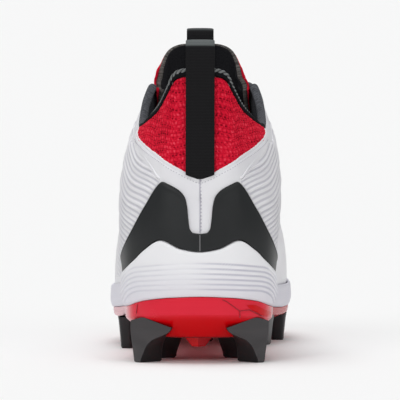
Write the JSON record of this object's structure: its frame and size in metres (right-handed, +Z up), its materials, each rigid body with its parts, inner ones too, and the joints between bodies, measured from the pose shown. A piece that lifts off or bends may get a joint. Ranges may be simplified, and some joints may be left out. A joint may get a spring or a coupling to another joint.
{
  "type": "american football cleat",
  "caption": "Left american football cleat of mid height: white upper, red knit cuff, black heel wrap, ribbed white midsole and red plate with dark moulded studs.",
  "frame": {"origin": "centre of the shoe's box in plan, on the floor that its studs stand on", "axes": "+Y towards the toe, +X towards the inner (big toe) side, +Z up"},
  "size_m": [0.1024, 0.2924, 0.1792],
  "materials": {
    "white_skin": "smooth synthetic skin",
    "white_foam": "moulded foam",
    "red_knit": "coarse knit",
    "black_skin": "matt synthetic skin",
    "black_webbing": "woven",
    "dark_lining": "brushed knit",
    "red_plate": "gloss",
    "dark_stud": "satin",
    "red_nub": "gloss",
    "white_lace": "woven"
  },
  "bodies": {
    "root": {"collar_binding": "black_webbing", "eyestay": "white_skin", "forefoot_stud_inner_1": "dark_stud", "forefoot_stud_inner_2": "dark_stud", "forefoot_stud_inner_3": "dark_stud", "forefoot_stud_middle": "dark_stud", "forefoot_stud_outer_1": "dark_stud", "forefoot_stud_outer_2": "dark_stud", "forefoot_stud_outer_3": "dark_stud", "forefoot_stud_outer_4": "dark_stud", "heel_counter": "black_skin", "heel_nub": "red_nub", "heel_pull_loop": "black_webbing", "heel_stud_front_inner": "dark_stud", "heel_stud_front_outer": "dark_stud", "heel_stud_rear_inner": "dark_stud", "heel_stud_rear_outer": "dark_stud", "insole": "dark_lining", "knit_cuff": "red_knit", "laces": "white_lace", "midsole": "white_foam", "outsole_plate": "red_plate", "piping_inner": "white_skin", "piping_outer": "white_skin", "toe_stud": "dark_stud", "tongue": "red_knit", "tongue_pull_loop": "black_webbing", "upper": "white_skin"}
  },
  "joints": []
}
